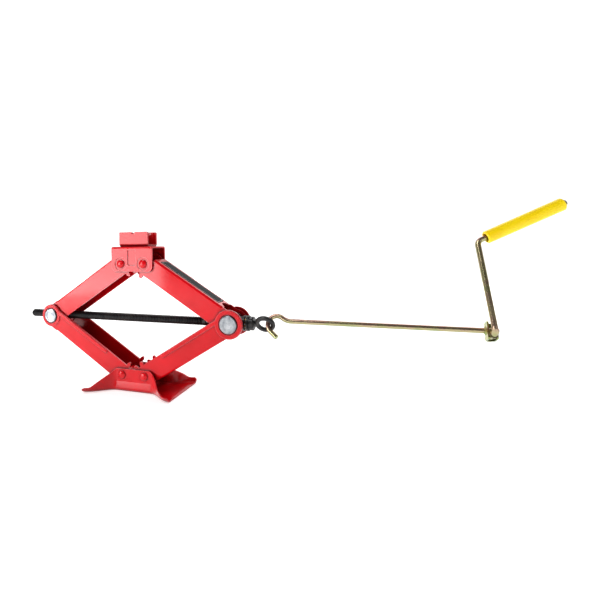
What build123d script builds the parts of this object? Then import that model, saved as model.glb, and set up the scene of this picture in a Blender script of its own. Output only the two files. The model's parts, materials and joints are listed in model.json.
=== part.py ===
"""Scissor jack with a folding crank handle hooked into its screw eye.

Frame: millimetres, +Z up, X along the lifting screw with the crank on +X, Y to the back.
The origin lies on the ground under the middle of the base.
"""
from build123d import *
from math import acos, asin, atan2, cos, degrees, pi, radians, sin, sqrt, tan
import os

# ---------------------------------------------------------------- linkage
arm_pitch = 180.0            # between the two pivots of an arm
pivot_spacing = 44.0         # between the two arm pivots of the base, and of the top bracket
arm_angle = 32.0             # slope of the arms as modelled
base_pivot_height = 29.0     # ground to the lower arm pivots
pivot_pin_diameter = 12.0
running_fit = 0.08           # radial clearance of a pin in a moving hole
open_fit = 0.35              # the same at the right knuckle of the upper right arm
side_gap = 0.4               # between two sheet walls that slide past each other

# ---------------------------------------------------------------- arms
arm_sheet = 2.5
arm_height = 35.0            # flange height of every arm channel
upper_arm_width = 37.0       # over the flanges of an upper arm
web_bend_radius = 3.5        # outside radius where web turns into flange
gear_ear_radius = 17.0       # plain round end about the geared pivot
upper_ear_radius = 19.5      # round end about the knuckle
left_ear_radius = 20.5        # of a lower arm, round the left knuckle
right_ear_radius = 23.5
web_start = 14.0             # from the geared pivot to the near end of the web
web_cutback = 23.0           # from the knuckle to the far end of the web
web_notch_radius = 11.0      # round cut in the far end of the web
bead_height = 1.6            # pressed bead along the open edge of a lower arm
bead_width = 6.5
bead_start = 46.0
bead_ring_gap = 1.4          # between a knuckle head and the bead ring round it

# ---------------------------------------------------------------- gear teeth on the arms
full_circle_teeth = 10
pressure_angle = 25.0
tooth_addendum_share = 0.8   # of the module
tooth_dedendum_share = 1.12
backlash = 0.5
lowest_angle = 8.0
highest_angle = 68.0
sector_margin = 17.0         # toothed past the last mesh point, degrees
spare_teeth = 1              # more teeth than the mesh needs, on the open side

# ---------------------------------------------------------------- trunnions
trunnion_diameter = 28.0
journal_diameter = 20.0
left_head_diameter = 25.0
right_head_diameter = 29.0
trunnion_head_height = 2.9
dimple_diameter = 16.0
dimple_depth = 0.6
trunnion_flat = 12.5         # from the trunnion's axis to its bearing flat

# ---------------------------------------------------------------- base
base_sheet = 2.5
base_half_length = 83.0
base_flat_half = 33.0        # half length of the upright middle of the walls
base_wall_top = 39.0
base_knee_height = 17.0      # above it the middle of the walls stands upright
base_end_rim = 9.0           # height of the walls at the two ends
base_rim_length = 14.0       # level rim at each end
base_shoulder_radius = 7.0   # round corner over the pivots
base_toe_radius = 14.0       # hollow corner where the slope meets the level rim
base_tip_radius = 6.0
waist_half_width = 27.5      # of the floor in the middle
foot_half_width = 52.0       # of the floor at the ends
end_wall_lean = 16.0         # outward lean of the end walls over base_wall_top
base_bend_radius = 6.5
rivet_head_diameter = 15.0
rivet_head_height = 3.4

# ---------------------------------------------------------------- top bracket and saddle
bracket_sheet = 2.5
bracket_half_length = 40.0
bracket_drop = 13.0          # wall edge below the upper pivots
bracket_rise = 29.5          # top face above the upper pivots
bracket_corner = 8.0
bracket_bend = 4.0
bracket_rib_width = 16.0
bracket_rib_depth = 1.1
bracket_rib_corner = 3.0
bracket_rib_top_margin = 5.0
coin_diameter = 23.0         # shallow round recess under each rivet head
coin_depth = 0.7
saddle_length = 56.0
saddle_width = 30.0
saddle_height = 25.0
saddle_sheet = 3.0
saddle_bend = 5.5
saddle_notch_width = 6.0
saddle_notch_depth = 4.0
saddle_rivet_diameter = 8.0
saddle_rivet_head = 14.0
saddle_rivet_head_height = 2.4

# ---------------------------------------------------------------- screw
screw_diameter = 14.0
screw_tail = 64.0            # beyond the left knuckle
screw_neck_diameter = 10.0
screw_shoulder = 45.0        # from the right knuckle to the end of the thread
screw_chamfer = 1.5
screw_turn = 36.0            # how far the eye is turned about the screw
seat_washer_diameter = 21.0
seat_washer_thickness = 6.5
race_diameter = 25.0
race_thickness = 3.0
cage_diameter = 22.5         # ball cage between the two races
cage_thickness = 3.4
collar_diameter = 22.0
collar_length = 8.0
collar_pin_diameter = 4.0
collar_pin_proud = 1.5
eye_offset = 54.0            # right knuckle to the centre of the eye
eye_ring_radius = 12.8       # to the middle of the ring's section
eye_section_radius = 3.8
eye_section_sides = 10       # forged flats round the ring's section
eye_shank_diameter = 11.5

# ---------------------------------------------------------------- crank
rod_diameter = 7.5
rod_length = 264.0           # straight rod, from the hook to the joint clip
rod_end_stub = 3.4           # past the back plate of the clip
hook_radius = 14.0
hook_drop = 6.5              # centre of the hook below the rod's axis
hook_bend_radius = 24.0
hook_end_angle = 50.0        # turn past the lowest point of a half circle
hook_tip_length = 15.0
hook_gap = 0.6               # wire to ring inside the eye
crank_turn = 24.0            # lean of the crank arm about the rod, to the back
clip_sheet = 2.0
clip_gap = 8.1               # between the two plates of the clip
clip_top = 11.0
clip_back_top = 12.6
clip_bottom = 13.0
clip_open_edge = 11.0        # rod's axis to the open edge of the plates
clip_web_inner = 4.2         # rod's axis to the inside of the web
clip_corner = 3.0
weld_radius = 6.6            # weld bead round the rod on the front plate
weld_height = 1.6
pin_below_rod = 7.9          # arm's pivot pin below the rod's axis
clip_hole_diameter = 8.8
pin_head_diameter = 10.4
pin_head_length = 8.0
arm_offset = 24.0            # rod's axis to the arm, sideways
arm_length = 129.0           # pivot to the bend at the grip
arm_lean = 5.0               # of the arm towards the hook as modelled
arm_bend_radius = 8.0
crimp_diameter = 10.0
crimp_width = 0.8
crimp_pitch = 1.6
crimp_count = 3
grip_turn = 68.0             # from the arm to the grip
grip_bend_radius = 9.0
grip_start = 12.0            # corner of the bend to the mouth of the grip
grip_length = 107.0
grip_diameter = 17.8
grip_bore_fit = 0.25
grip_mouth_diameter = 12.8
grip_mouth_depth = 14.0
grip_edge = 1.2
cap_diameter = 12.0
cap_height = 5.0
end_gap = 0.4

# ---------------------------------------------------------------- worked-out places
half_spacing = pivot_spacing / 2
knuckle_x = half_spacing + arm_pitch * cos(radians(arm_angle))
knuckle_height = base_pivot_height + arm_pitch * sin(radians(arm_angle))
top_pivot_height = base_pivot_height + 2 * arm_pitch * sin(radians(arm_angle))
upper_outer = upper_arm_width / 2
upper_inner = upper_outer - arm_sheet
lower_inner = upper_outer + side_gap
lower_outer = lower_inner + arm_sheet
bracket_inner = upper_outer + side_gap
bracket_outer = bracket_inner + bracket_sheet
base_inner = lower_outer + side_gap
base_outer = base_inner + base_sheet
bracket_top = top_pivot_height + bracket_rise
eye_x = knuckle_x + eye_offset
seat_x = knuckle_x + trunnion_flat
race_x = seat_x + seat_washer_thickness
cage_x = race_x + race_thickness
outer_race_x = cage_x + cage_thickness
collar_x = outer_race_x + race_thickness
rod_axis_lift = hook_drop                      # rod's axis above the eye, along the crank's own up
hook_wire_x = eye_x + eye_ring_radius - eye_section_radius - rod_diameter / 2 - hook_gap
hook_centre_x = hook_wire_x + hook_radius
hook_rise_angle = acos((hook_bend_radius + hook_drop) / (hook_bend_radius + hook_radius))
rod_start_x = hook_centre_x + (hook_bend_radius + hook_radius) * sin(hook_rise_angle)
clip_x = rod_start_x + rod_length              # front face of the clip's front plate
pin_x = clip_x + clip_sheet + clip_gap / 2     # axis of the folding joint
clip_depth = 2 * clip_sheet + clip_gap
gear_module = pivot_spacing / full_circle_teeth
pitch_radius = half_spacing
tip_radius = pitch_radius + tooth_addendum_share * gear_module
root_radius = pitch_radius - tooth_dedendum_share * gear_module


# ================================================================ helpers
def cylinder_y(radius, y_from, y_to, x=0.0, z=0.0):
    """Round bar along Y between two Y values."""
    bar = Cylinder(radius, y_to - y_from, rotation=(90, 0, 0))
    return Pos(x, (y_from + y_to) / 2, z) * bar


def cylinder_x(radius, x_from, x_to, y=0.0, z=0.0):
    """Round bar along X between two X values."""
    bar = Cylinder(radius, x_to - x_from, rotation=(0, 90, 0))
    return Pos((x_from + x_to) / 2, y, z) * bar


def slab_y(face, y_from, y_to):
    """A face drawn in X and Z, given thickness between two Y values."""
    placed = Plane((0, y_from, 0), x_dir=(1, 0, 0), z_dir=(0, -1, 0)) * face
    return extrude(placed, amount=y_to - y_from, dir=(0, 1, 0))


def both_sides(face, inner, outer):
    """The same plate at the front and at the back."""
    return [slab_y(face, -outer, -inner), slab_y(face, inner, outer)]


def save(part, name):
    """One STEP file for one node."""
    part.label = name
    export_step(part, f"parts/{name}.step")


# ================================================================ arms
def involute(angle):
    return tan(angle) - angle


def tooth(centre):
    """One gear tooth about the geared pivot; centre is its direction in degrees."""
    base_radius = pitch_radius * cos(radians(pressure_angle))
    pitch_half = pi / (2 * full_circle_teeth) - backlash / 2 / pitch_radius
    flank_steps = 4

    def half_angle(radius):
        if radius <= base_radius:
            return pitch_half + involute(radians(pressure_angle))
        return pitch_half + involute(radians(pressure_angle)) - involute(acos(base_radius / radius))

    def point(radius, side):
        angle = radians(centre) + side * half_angle(radius)
        return (radius * cos(angle), radius * sin(angle))

    radii = [base_radius + (tip_radius - base_radius) * i / flank_steps for i in range(flank_steps + 1)]
    foot_radius = root_radius - 2.0
    right = Spline([point(r, -1) for r in radii])
    left = Spline([point(r, 1) for r in reversed(radii)])
    tip = Line(right @ 1, left @ 0)
    right_foot = Line(point(foot_radius, -1), right @ 0)
    left_foot = Line(left @ 1, point(foot_radius, 1))
    closing = Line(left_foot @ 1, right_foot @ 0)
    return make_face([right_foot, right, tip, left, left_foot, closing])


def gear_sector(tooth_at_mesh):
    """Teeth over the stretch that meshes between the lowest and highest arm angles, and past it.

    Angles run from the arm's own direction towards its open side. A mesh point lies at
    180 degrees less the arm angle; one arm of a pair has a tooth there, the other a gap.
    """
    pitch = 360 / full_circle_teeth
    first = 180 - highest_angle - sector_margin - spare_teeth * pitch
    last = 180 - lowest_angle + sector_margin
    reference = 180 - arm_angle + (0 if tooth_at_mesh else pitch / 2)
    teeth = []
    for k in range(-full_circle_teeth, full_circle_teeth):
        centre = reference + k * pitch
        if first <= centre <= last:
            teeth.append(tooth(centre))
    return teeth


def flange_outline(ear_radius, hole_radius, tooth_at_mesh):
    """Side view of an arm: gear sector, straight flange and the round knuckle ear."""
    half = arm_height / 2
    body = Pos(arm_pitch / 2, 0) * Rectangle(arm_pitch, arm_height)
    outline = body + Circle(gear_ear_radius) + Pos(arm_pitch, 0) * Circle(ear_radius)
    # the flange corners beside the gear are cut back to the plain round end
    corner = Pos(web_start / 2 - half / 2, -half) * Rectangle(web_start + half, half)
    outline = outline - corner + Circle(gear_ear_radius)
    outline = outline + gear_sector(tooth_at_mesh)
    outline = outline - Circle(pivot_pin_diameter / 2 + running_fit)
    outline = outline - Pos(arm_pitch, 0) * Circle(hole_radius)
    return outline


def arm_channel(inner, outer, ear_radius, hole_radius, tooth_at_mesh):
    """A pressed channel arm: geared pivot at the origin, knuckle at +X, open towards +Z."""
    half = arm_height / 2
    web_end = arm_pitch - web_cutback
    strip_height = web_bend_radius + 1.0
    strip = Pos((web_start + web_end) / 2, -half + strip_height / 2)
    outline = flange_outline(ear_radius, hole_radius, tooth_at_mesh)
    outline = outline - strip * Rectangle(web_end - web_start, strip_height)
    flanges = both_sides(outline, inner, outer)

    section = Pos(0, -half + strip_height / 2) * Rectangle(2 * outer, strip_height)
    lower_edge = section.vertices().group_by(Axis.Y)[0]
    section = fillet(lower_edge, web_bend_radius)
    hollow = Pos(0, -half + arm_sheet + strip_height / 2) * Rectangle(2 * inner, strip_height)
    hollow_corners = hollow.vertices().group_by(Axis.Y)[0]
    section = section - fillet(hollow_corners, web_bend_radius - arm_sheet)
    web = extrude(Plane((web_start, 0, 0), x_dir=(0, 1, 0), z_dir=(1, 0, 0)) * section,
                  amount=web_end - web_start)
    notch = Cylinder(web_notch_radius, arm_sheet * 4)
    web = web - Pos(web_end + web_notch_radius * 0.25, 0, -half) * notch
    return Part() + flanges + web


def lower_arm(ear_radius, head_diameter, tooth_at_mesh):
    """A lower arm, with the pressed bead along its open edge and round its knuckle ear."""
    arm = arm_channel(lower_inner, lower_outer, ear_radius,
                      journal_diameter / 2 + running_fit, tooth_at_mesh)
    half = arm_height / 2
    ring_inner = head_diameter / 2 + bead_ring_gap
    bead_edge = 0.8
    bead_length = arm_pitch - bead_start
    strip = Pos(bead_start + bead_length / 2, half - bead_edge - bead_width / 2)
    bead = strip * Rectangle(bead_length, bead_width)
    start = bead.vertices().group_by(Axis.X)[0]
    bead = fillet(start, bead_width * 0.45)
    bead = bead + Pos(arm_pitch, 0) * Circle(ear_radius - bead_edge)
    bead = bead - Pos(arm_pitch, 0) * Circle(ring_inner)
    for side in (-1, 1):
        y_from, y_to = sorted((side * lower_outer, side * (lower_outer + bead_height)))
        solid = slab_y(bead, y_from, y_to)
        face = solid.faces().sort_by(Axis.Y)[-1 if side > 0 else 0]
        arm = arm + chamfer(face.edges(), bead_height * 0.45)
    return arm


def upper_arm(tooth_at_mesh, knuckle_clearance):
    """An upper arm, nested inside the ears of the lower arm."""
    return arm_channel(upper_inner, upper_outer, upper_ear_radius,
                       journal_diameter / 2 + knuckle_clearance, tooth_at_mesh)


def place_lower(arm, side):
    """Put a lower arm on the base; side is +1 for the right, -1 for the left."""
    placed = Pos(half_spacing, 0, base_pivot_height) * Rot(0, -arm_angle, 0) * arm
    return placed if side > 0 else mirror(placed, about=Plane.YZ)


def place_upper(arm, side):
    """Put an upper arm under the top bracket, open side down."""
    turned = Rot(0, arm_angle, 0) * mirror(arm, about=Plane.XY)
    placed = Pos(half_spacing, 0, top_pivot_height) * turned
    return placed if side > 0 else mirror(placed, about=Plane.YZ)


# ================================================================ pins
def domed(radius, height):
    """A domed head standing on the ground plane, turned in a few conical bands."""
    bands = 4
    rim = [(radius * cos(pi / 2 * k / bands), height * sin(pi / 2 * k / bands))
           for k in range(bands)]
    outline = Polyline((0, 0), *rim, (0, height), close=True)
    return revolve(Plane.XZ * make_face(outline), Axis.Z)


def domed_pin(x, z, face_y):
    """A pivot pin across the whole width, with a domed head upset on each end."""
    pin = cylinder_y(pivot_pin_diameter / 2, -face_y, face_y, x, z)
    head = domed(rivet_head_diameter / 2, rivet_head_height)
    for side in (-1, 1):
        pin = pin + Pos(x, side * face_y, z) * Rot(-90 * side, 0, 0) * head
    return pin


def trunnion(x, head_diameter, bore_radius, flat_side):
    """Cross shaft of a knuckle: thick middle, journals through the ears, upset heads."""
    body_half = upper_inner - side_gap
    head_from = lower_outer + side_gap
    shaft = cylinder_y(trunnion_diameter / 2, -body_half, body_half)
    shaft = shaft + cylinder_y(journal_diameter / 2, -head_from, head_from)
    for side in (-1, 1):
        y_near, y_far = side * head_from, side * (head_from + trunnion_head_height)
        head = cylinder_y(head_diameter / 2, min(y_near, y_far), max(y_near, y_far))
        outer_face = head.faces().sort_by(Axis.Y)[-1 if side > 0 else 0]
        head = chamfer(outer_face.edges(), 1.0)
        y_dimple = y_far - side * dimple_depth
        dimple = cylinder_y(dimple_diameter / 2, min(y_far, y_dimple), max(y_far, y_dimple))
        shaft = shaft + (head - dimple)
    if flat_side:
        depth = trunnion_diameter / 2 - trunnion_flat
        cut = Box(depth, 2 * body_half + 1, trunnion_diameter)
        shaft = shaft - Pos(trunnion_flat + depth / 2, 0, 0) * cut
    shaft = shaft - cylinder_x(bore_radius, -trunnion_diameter, trunnion_diameter)
    return Pos(x, 0, knuckle_height) * shaft


# ================================================================ base
def smooth_step(t):
    t = min(max(t, 0.0), 1.0)
    return t * t * (3 - 2 * t)


def base_section(x, inset):
    """Cross section of the trough at a place along it, each surface moved in by inset."""
    flare = smooth_step((abs(x) - base_flat_half) / (base_half_length - base_flat_half))
    bottom = waist_half_width + (foot_half_width - waist_half_width) * flare - inset
    top = base_outer + (foot_half_width + end_wall_lean - base_outer) * flare - inset
    knee = top - (top - bottom) * (1 - base_knee_height / base_wall_top) * flare
    bend = base_bend_radius - inset
    lean = (knee - bottom) / (base_knee_height - inset)
    right = []
    for turn in (radians(22.5 * k) for k in range(5)):
        rise = bend * (1 - cos(turn))
        right.append((bottom - bend * (1 - sin(turn)) + lean * rise, inset + rise))
    right = right + [(knee, base_knee_height), (top, base_wall_top + inset)]
    left = [(-y, z) for y, z in reversed(right)]
    plane = Plane((x, 0, 0), x_dir=(0, 1, 0), z_dir=(1, 0, 0))
    return plane * make_face(Polyline(*right, *left, close=True))


def base_trough(inset):
    """The trough as a solid: straight in the middle, flaring smoothly to both ends."""
    middle = extrude(base_section(-base_flat_half, inset), amount=2 * base_flat_half)
    run = base_half_length - base_flat_half
    steps = 5
    stations = [base_flat_half + run * k / steps for k in range(steps + 1)]
    flare = loft([base_section(x, inset) for x in stations])
    return middle + flare + mirror(flare, about=Plane.YZ)


def base_side_outline():
    """Side view of the walls: level over the pivots, sloping down to the end rims."""
    rim_half = base_half_length - base_rim_length
    corners = [(-base_half_length, 0), (base_half_length, 0), (base_half_length, base_end_rim),
               (rim_half, base_end_rim), (base_flat_half, base_wall_top),
               (-base_flat_half, base_wall_top), (-rim_half, base_end_rim),
               (-base_half_length, base_end_rim)]
    outline = make_face(Polyline(*corners, close=True))
    for at_x, at_y, radius in ((base_flat_half, base_wall_top, base_shoulder_radius),
                               (rim_half, base_end_rim, base_toe_radius),
                               (base_half_length, base_end_rim, base_tip_radius)):
        corner = [v for v in outline.vertices()
                  if abs(abs(v.X) - at_x) < 0.01 and abs(v.Y - at_y) < 0.01]
        outline = fillet(corner, radius)
    return outline


def base_plate():
    """Pressed foot: one sheet folded into a trough that flares at both ends."""
    shell = base_trough(0) - base_trough(base_sheet)
    reach = 2 * foot_half_width
    trimmed = shell & slab_y(base_side_outline(), -reach, reach)
    for side in (-1, 1):
        trimmed = trimmed - cylinder_y(pivot_pin_diameter / 2 + running_fit, -base_outer - 5,
                                       base_outer + 5, side * half_spacing, base_pivot_height)
    return trimmed


# ================================================================ top bracket and saddle
def top_bracket():
    """Folded cap over the geared ends of the upper arms."""
    height = bracket_rise + bracket_drop
    middle = top_pivot_height + (bracket_rise - bracket_drop) / 2
    side = Pos(0, middle) * Rectangle(2 * bracket_half_length, height)
    side = fillet(side.vertices().group_by(Axis.Y)[0], bracket_corner)
    cap = slab_y(side, -bracket_outer, bracket_outer)
    top_edges = cap.edges().filter_by(Axis.X).group_by(Axis.Z)[-1]
    cap = fillet(top_edges, bracket_bend)
    hollow_height = 2 * height
    hollow = Box(3 * bracket_half_length, 2 * bracket_inner, hollow_height)
    hollow_edges = hollow.edges().filter_by(Axis.X).group_by(Axis.Z)[-1]
    hollow = fillet(hollow_edges, bracket_bend - bracket_sheet)
    hollow_z = bracket_top - bracket_sheet - hollow_height / 2
    cap = cap - Pos(0, 0, hollow_z) * hollow
    rib_bottom = top_pivot_height - bracket_rib_corner
    rib_top = bracket_top - bracket_rib_top_margin
    rib = Pos(0, (rib_bottom + rib_top) / 2) * Rectangle(bracket_rib_width, rib_top - rib_bottom)
    rib = fillet(rib.vertices(), bracket_rib_corner)
    for y in (-1, 1):
        y_face, y_deep = y * bracket_outer, y * (bracket_outer - bracket_rib_depth)
        cap = cap - slab_y(rib, min(y_face, y_deep), max(y_face, y_deep))
        y_coin = y * (bracket_outer - coin_depth)
        for x in (-half_spacing, half_spacing):
            cap = cap - cylinder_y(coin_diameter / 2, min(y_face, y_coin), max(y_face, y_coin),
                                   x, top_pivot_height)
    for x in (-half_spacing, half_spacing):
        cap = cap - cylinder_y(pivot_pin_diameter / 2 + running_fit, -bracket_outer - 1,
                               bracket_outer + 1, x, top_pivot_height)
    rivet_hole = Cylinder(saddle_rivet_diameter / 2 + running_fit, 3 * bracket_sheet)
    return cap - Pos(0, 0, bracket_top) * rivet_hole


def saddle_pad():
    """Load pad: a folded trough that takes the sill seam, notched in the middle of both lips."""
    section = Pos(0, saddle_height / 2) * Rectangle(saddle_width, saddle_height)
    section = fillet(section.vertices().group_by(Axis.Y)[0], saddle_bend)
    inner_width = saddle_width - 2 * saddle_sheet
    hollow = Pos(0, saddle_height / 2 + saddle_sheet) * Rectangle(inner_width, saddle_height)
    hollow = fillet(hollow.vertices().group_by(Axis.Y)[0], saddle_bend - saddle_sheet)
    plane = Plane((-saddle_length / 2, 0, bracket_top), x_dir=(0, 1, 0), z_dir=(1, 0, 0))
    pad = extrude(plane * (section - hollow), amount=saddle_length)
    corner_edges = pad.edges().filter_by(Axis.Y).group_by(Axis.Z)[-1]
    pad = fillet([e for e in corner_edges if e.length < saddle_sheet + 0.1], 2.0)
    notch_z = bracket_top + saddle_height - saddle_notch_depth / 2
    pad = pad - Pos(0, 0, notch_z) * Box(saddle_notch_width, saddle_width + 2, saddle_notch_depth + 0.02)
    hole = Cylinder(saddle_rivet_diameter / 2 + running_fit, 3 * saddle_sheet)
    return pad - Pos(0, 0, bracket_top) * hole


def saddle_rivet():
    """Rivet through the saddle floor and the bracket top."""
    head_bottom = bracket_top + saddle_sheet
    tail_top = bracket_top - bracket_sheet
    shank_length = head_bottom - tail_top
    rivet = Pos(0, 0, (head_bottom + tail_top) / 2) * Cylinder(saddle_rivet_diameter / 2, shank_length)
    head = Cylinder(saddle_rivet_head / 2, saddle_rivet_head_height)
    head = chamfer(head.faces().sort_by(Axis.Z)[-1].edges(), 1.2)
    tail = Cylinder(saddle_rivet_head / 2 - 1, saddle_rivet_head_height)
    tail = chamfer(tail.faces().sort_by(Axis.Z)[0].edges(), 1.2)
    rivet = rivet + Pos(0, 0, head_bottom + saddle_rivet_head_height / 2) * head
    return rivet + Pos(0, 0, tail_top - saddle_rivet_head_height / 2) * tail


# ================================================================ screw and its bearing
def on_screw(part):
    """Turn a piece of the screw about the screw's axis, as modelled at rest."""
    return Pos(0, 0, knuckle_height) * Rot(screw_turn, 0, 0) * part


def lead_screw():
    """Lifting screw: threaded length, then a thinner neck through the right trunnion."""
    tail_x = -knuckle_x - screw_tail
    shoulder_x = knuckle_x - screw_shoulder
    neck_end = collar_x + collar_length
    thread = chamfer(cylinder_x(screw_diameter / 2, tail_x, shoulder_x).edges(), screw_chamfer)
    neck = cylinder_x(screw_neck_diameter / 2, shoulder_x, neck_end)
    pin_hole = Pos(collar_x + collar_length / 2, 0, 0) * Cylinder(collar_pin_diameter / 2, collar_diameter)
    return on_screw(thread + neck - pin_hole)


def screw_eye():
    """Forged eye: collar over the neck of the screw, shank and ring."""
    collar_end = collar_x + collar_length
    collar = cylinder_x(collar_diameter / 2, collar_x, collar_end)
    collar = chamfer(collar.faces().sort_by(Axis.X)[-1].edges(), 1.2)
    collar = collar - cylinder_x(screw_neck_diameter / 2, collar_x - 1, collar_end)
    ring_left = eye_x - eye_ring_radius
    shank = Cone(eye_shank_diameter / 2, eye_section_radius, ring_left - collar_end, rotation=(0, 90, 0))
    shank = Pos((ring_left + collar_end) / 2, 0, 0) * shank
    section = Pos(eye_ring_radius, 0) * RegularPolygon(eye_section_radius, eye_section_sides)
    ring = Pos(eye_x, 0, 0) * revolve(Plane.XY * section, Axis.Y)
    hole = Pos(collar_x + collar_length / 2, 0, 0) * Cylinder(collar_pin_diameter / 2, 2 * collar_diameter)
    return on_screw(collar + shank + ring - hole)


def collar_pin():
    """Cross pin through the eye's collar and the neck of the screw."""
    pin = Cylinder(collar_pin_diameter / 2, collar_diameter + 2 * collar_pin_proud)
    return on_screw(Pos(collar_x + collar_length / 2, 0, 0) * chamfer(pin.edges(), 0.4))


def screw_ring(diameter, x_from, x_to):
    """A ring of the thrust bearing, round the neck of the screw."""
    ring = cylinder_x(diameter / 2, x_from, x_to)
    ring = ring - cylinder_x(screw_neck_diameter / 2 + running_fit, x_from - 1, x_to + 1)
    return Pos(0, 0, knuckle_height) * ring


# ================================================================ crank
def on_crank(part):
    """Place a piece drawn with the rod's axis along X at the origin's height."""
    return Pos(0, 0, knuckle_height) * Rot(-crank_turn, 0, 0) * Pos(0, 0, rod_axis_lift) * part


def on_crank_arm(part):
    """Place a piece drawn about the folding joint with the arm upright."""
    return on_crank(Pos(pin_x, 0, -pin_below_rod) * Rot(0, -arm_lean, 0) * part)


def crank_rod():
    """Main rod of the crank, with the hook that goes through the screw eye."""
    end_x = clip_x + clip_depth + rod_end_stub
    rise = degrees(hook_rise_angle)
    with BuildLine(Plane.XZ) as path:
        straight = Line((end_x, 0), (rod_start_x, 0))
        up = JernArc(straight @ 1, straight % 1, hook_bend_radius, -rise)
        hook = JernArc(up @ 1, up % 1, hook_radius, rise + 90 + hook_end_angle)
        Line(hook @ 1, hook @ 1 + hook_tip_length * (hook % 1))
    section = Plane((end_x, 0, 0), z_dir=(-1, 0, 0)) * Circle(rod_diameter / 2)
    rod = sweep(section, path=path.line)
    ends = [f.edges() for f in rod.faces().filter_by(GeomType.PLANE)]
    for edges in ends:
        rod = chamfer(edges, 0.7)
    return on_crank(rod)


def crank_clip():
    """Folded clip that carries the folding joint, welded to the end of the main rod."""
    width = clip_open_edge + clip_web_inner + clip_sheet
    centre_y = (clip_web_inner + clip_sheet - clip_open_edge) / 2
    front = Pos(centre_y, (clip_top - clip_bottom) / 2) * Rectangle(width, clip_top + clip_bottom)
    open_corners = front.vertices().group_by(Axis.X)[0]
    front = fillet(open_corners, clip_corner)
    back = Pos(centre_y, (clip_back_top - clip_bottom) / 2) * Rectangle(width, clip_back_top + clip_bottom)
    back = fillet(back.vertices().group_by(Axis.X)[0], clip_corner)
    top_right = [v for v in back.vertices() if v.Y > 0 and v.X > 0]
    back = fillet(top_right, clip_corner)
    plane = Plane((clip_x, 0, 0), x_dir=(0, 1, 0), z_dir=(1, 0, 0))
    clip = extrude(plane * front, amount=clip_sheet)
    clip = clip + Pos(clip_sheet + clip_gap, 0, 0) * extrude(plane * back, amount=clip_sheet)
    web = Pos(clip_x + clip_depth / 2, clip_web_inner + clip_sheet / 2, (clip_top - clip_bottom) / 2)
    clip = clip + web * Box(clip_depth, clip_sheet, clip_top + clip_bottom)
    outer_edges = [e for e in clip.edges().filter_by(Axis.Z)
                   if e.center().Y > clip_web_inner + clip_sheet - 0.01 and e.length > clip_top]
    clip = fillet(outer_edges, clip_sheet * 0.9)
    clip = clip - cylinder_y(clip_hole_diameter / 2, 0, clip_open_edge * 2, pin_x, -pin_below_rod)
    clip = clip - cylinder_x(rod_diameter / 2, clip_x - 5, clip_x + clip_depth + 5)
    return on_crank(clip)


def crank_weld():
    """Weld bead that holds the clip on the main rod."""
    cone = Cone(rod_diameter / 2 + 0.8, weld_radius, weld_height, rotation=(0, 90, 0))
    bead = Pos(clip_x - weld_height / 2, 0, 0) * cone
    return on_crank(bead - cylinder_x(rod_diameter / 2, clip_x - 5, clip_x + 5))


def crank_arm():
    """Crank arm bent from one rod: pivot pin, arm and the spindle under the grip."""
    turn = radians(grip_turn)
    spindle = grip_start + grip_length + end_gap
    pin_end = clip_web_inner + clip_sheet + side_gap + pin_head_length
    corner = Vector(0, -arm_offset, arm_length)
    tip = corner + Vector(sin(turn), 0, cos(turn)) * spindle
    path = FilletPolyline((0, pin_end, 0), (0, -arm_offset, 0), corner, tip,
                          radius=[arm_bend_radius, grip_bend_radius])
    section = Plane((0, pin_end, 0), z_dir=(0, -1, 0)) * Circle(rod_diameter / 2)
    arm = sweep(section, path=path)
    head = cylinder_y(pin_head_diameter / 2, pin_end - pin_head_length, pin_end)
    arm = arm + chamfer(head.edges(), 0.8)
    for k in range(crimp_count):
        y_ridge = -clip_open_edge - side_gap - k * crimp_pitch
        arm = arm + cylinder_y(crimp_diameter / 2, y_ridge - crimp_width, y_ridge)
    return on_crank_arm(arm)


def on_grip(part):
    """Place a piece drawn along +Z from the corner of the arm's upper bend."""
    return on_crank_arm(Pos(0, -arm_offset, arm_length) * Rot(0, grip_turn, 0) * part)


def grip():
    """Moulded grip that turns on the spindle, with a wide mouth at its lower end."""
    sleeve = Pos(0, 0, grip_start + grip_length / 2) * Cylinder(grip_diameter / 2, grip_length)
    sleeve = chamfer(sleeve.edges().filter_by(GeomType.CIRCLE), grip_edge)
    bore = Cylinder(rod_diameter / 2 + grip_bore_fit, 3 * grip_length)
    mouth = Pos(0, 0, grip_start + grip_mouth_depth / 2 - 1)
    mouth = mouth * Cylinder(grip_mouth_diameter / 2, grip_mouth_depth + 2)
    return on_grip(sleeve - bore - mouth)


def grip_cap():
    """Domed head upset on the end of the spindle, which keeps the grip on."""
    foot = grip_start + grip_length + end_gap
    return on_grip(Pos(0, 0, foot) * domed(cap_diameter / 2, cap_height))


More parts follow.
